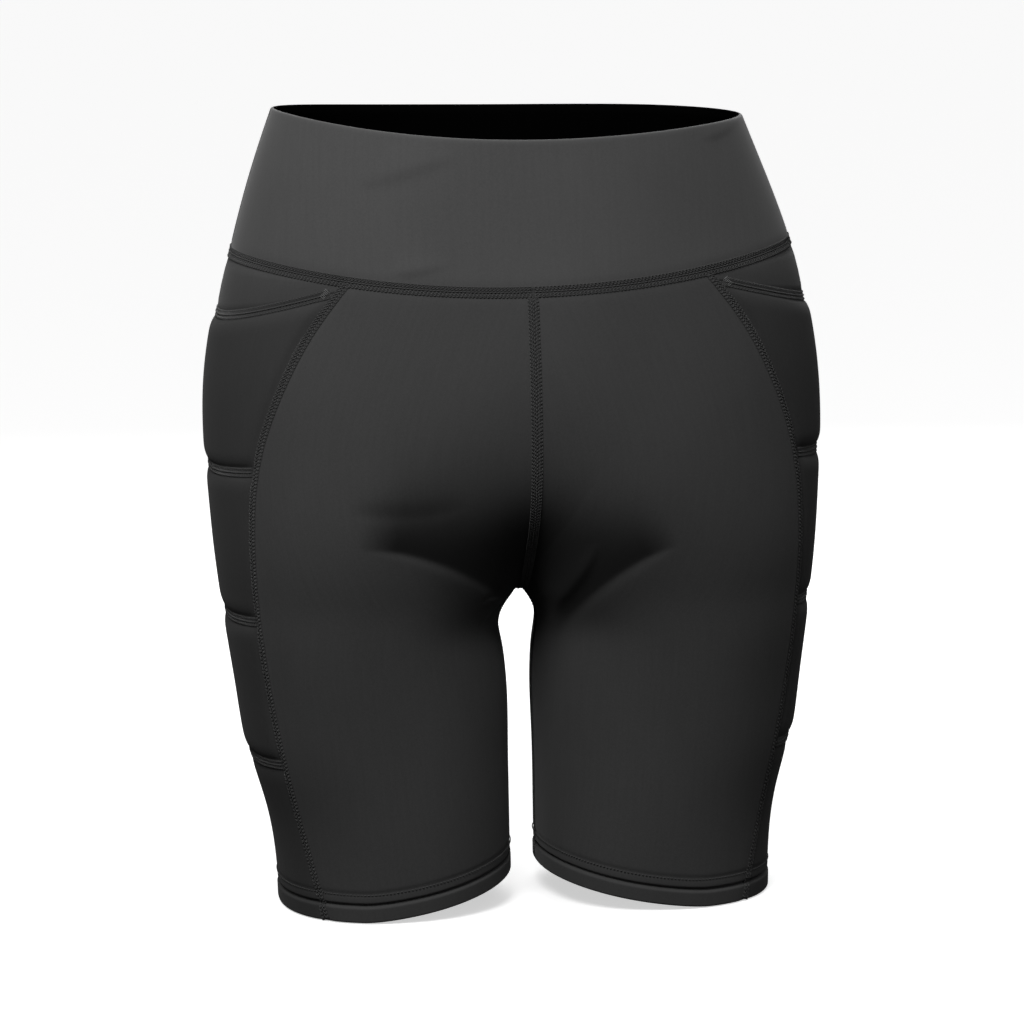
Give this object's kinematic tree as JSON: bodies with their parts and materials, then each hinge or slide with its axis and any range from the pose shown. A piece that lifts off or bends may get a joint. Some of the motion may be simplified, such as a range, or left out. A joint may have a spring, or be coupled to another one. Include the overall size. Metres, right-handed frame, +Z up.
{
  "type": "padded impact shorts",
  "caption": "High-waisted compression shorts with foam pads sewn in chambers down each side, a double-layer waistband and flat seams.",
  "frame": {"origin": "under the middle of the garment, on the level that the two hems stand on", "axes": "+Z up to the waist, front towards -Y, wearer's left towards +X"},
  "size_m": [0.3702, 0.2361, 0.4781],
  "materials": {
    "waistband_knit": "smooth double knit, matte",
    "body_knit": "fine compression knit, matte",
    "pad_cover_knit": "fine knit over foam, matte",
    "lining_mesh": "thin brushed lining",
    "seam_thread": "flatlock thread",
    "elastic": "woven elastic",
    "impact_foam": "closed-cell foam"
  },
  "bodies": {
    "root": {"waistband_outer_front": "waistband_knit", "waistband_outer_back": "waistband_knit", "waistband_lining_front": "waistband_knit", "waistband_lining_back": "waistband_knit", "waistband_elastic": "elastic", "waistband_seam": "seam_thread", "centre_front_seam": "seam_thread", "centre_back_seam": "seam_thread", "tailbone_pad": "impact_foam", "tailbone_pad_pocket": "lining_mesh", "tailbone_pad_stitching": "seam_thread", "front_panel_left": "body_knit", "front_panel_right": "body_knit", "back_panel_left": "body_knit", "back_panel_right": "body_knit", "side_yoke_left": "body_knit", "side_yoke_right": "body_knit", "hip_pad_cover_left": "pad_cover_knit", "hip_pad_cover_right": "pad_cover_knit", "upper_thigh_pad_cover_left": "pad_cover_knit", "upper_thigh_pad_cover_right": "pad_cover_knit", "lower_thigh_pad_cover_left": "pad_cover_knit", "lower_thigh_pad_cover_right": "pad_cover_knit", "side_lower_panel_left": "pad_cover_knit", "side_lower_panel_right": "pad_cover_knit", "hip_pad_left": "impact_foam", "hip_pad_right": "impact_foam", "upper_thigh_pad_left": "impact_foam", "upper_thigh_pad_right": "impact_foam", "lower_thigh_pad_left": "impact_foam", "lower_thigh_pad_right": "impact_foam", "side_pad_lining_left": "lining_mesh", "side_pad_lining_right": "lining_mesh", "pad_channel_seams_left": "seam_thread", "pad_channel_seams_right": "seam_thread", "front_side_seam_left": "seam_thread", "front_side_seam_right": "seam_thread", "back_side_seam_left": "seam_thread", "back_side_seam_right": "seam_thread", "inseam_left": "seam_thread", "inseam_right": "seam_thread", "hem_turn_up_left": "body_knit", "hem_turn_up_right": "body_knit", "hem_stitching_left": "seam_thread", "hem_stitching_right": "seam_thread"}
  },
  "joints": []
}
